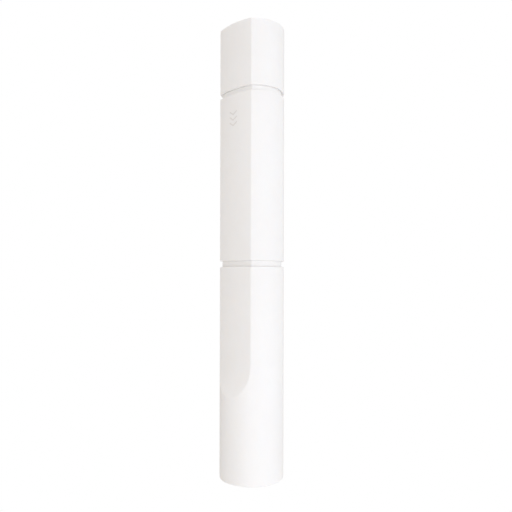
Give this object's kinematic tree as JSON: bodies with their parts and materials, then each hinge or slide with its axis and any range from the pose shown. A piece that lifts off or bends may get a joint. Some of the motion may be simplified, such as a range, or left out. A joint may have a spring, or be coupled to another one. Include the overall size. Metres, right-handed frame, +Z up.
{
  "type": "fire blanket",
  "caption": "Slender white wall tube with a long front facet and a scoop; its lower sleeve pulls down to bare a rolled fire blanket and its pull loops.",
  "frame": {"origin": "middle of the wall bracket's back face, where it lies against the wall", "axes": "+Z up along the tube, +Y into the wall, so the facet looks along -Y and +X is to its left as the tube faces a viewer"},
  "size_m": [0.06, 0.065, 0.42],
  "materials": {
    "white_plastic": "fine satin white",
    "liner_plastic": "plain satin white",
    "ring_rubber": "soft matte black",
    "grey_foam": "closed-cell foam",
    "screw_steel": "zinc plated",
    "insert_brass": "turned brass",
    "glass_cloth": "coated glass-fibre weave",
    "tape_webbing": "black ribbed webbing"
  },
  "bodies": {
    "tube": {"middle_shell": "white_plastic", "inner_liner": "liner_plastic", "sleeve_friction_ring": "ring_rubber", "cap_friction_ring": "ring_rubber", "grip_pad_left": "grey_foam", "grip_pad_right": "grey_foam", "wall_bracket": "white_plastic", "bracket_screw_lower": "screw_steel", "bracket_insert_lower": "insert_brass", "bracket_screw_upper": "screw_steel", "bracket_insert_upper": "insert_brass", "adhesive_pad_lower": "grey_foam", "adhesive_pad_upper": "grey_foam"},
    "cap": {"top_cap": "white_plastic", "cap_foam_disc": "grey_foam"},
    "blanket": {"blanket_roll": "glass_cloth", "pull_tape_left": "tape_webbing", "pull_tape_right": "tape_webbing"},
    "sleeve": {"pull_sleeve": "white_plastic", "sleeve_stop_ring": "liner_plastic", "base_cap": "white_plastic"}
  },
  "joints": [
    {"name": "cap_lift", "type": "slide", "parent": "tube", "child": "cap", "axis": [0, 0, 1], "range_m": [0, 0.065]},
    {"name": "blanket_draw", "type": "slide", "parent": "tube", "child": "blanket", "axis": [0, 0, -1], "range_m": [0, 0.27]},
    {"name": "sleeve_pull", "type": "slide", "parent": "blanket", "child": "sleeve", "axis": [0, 0, -1], "range_m": [0, 0.2]}
  ]
}
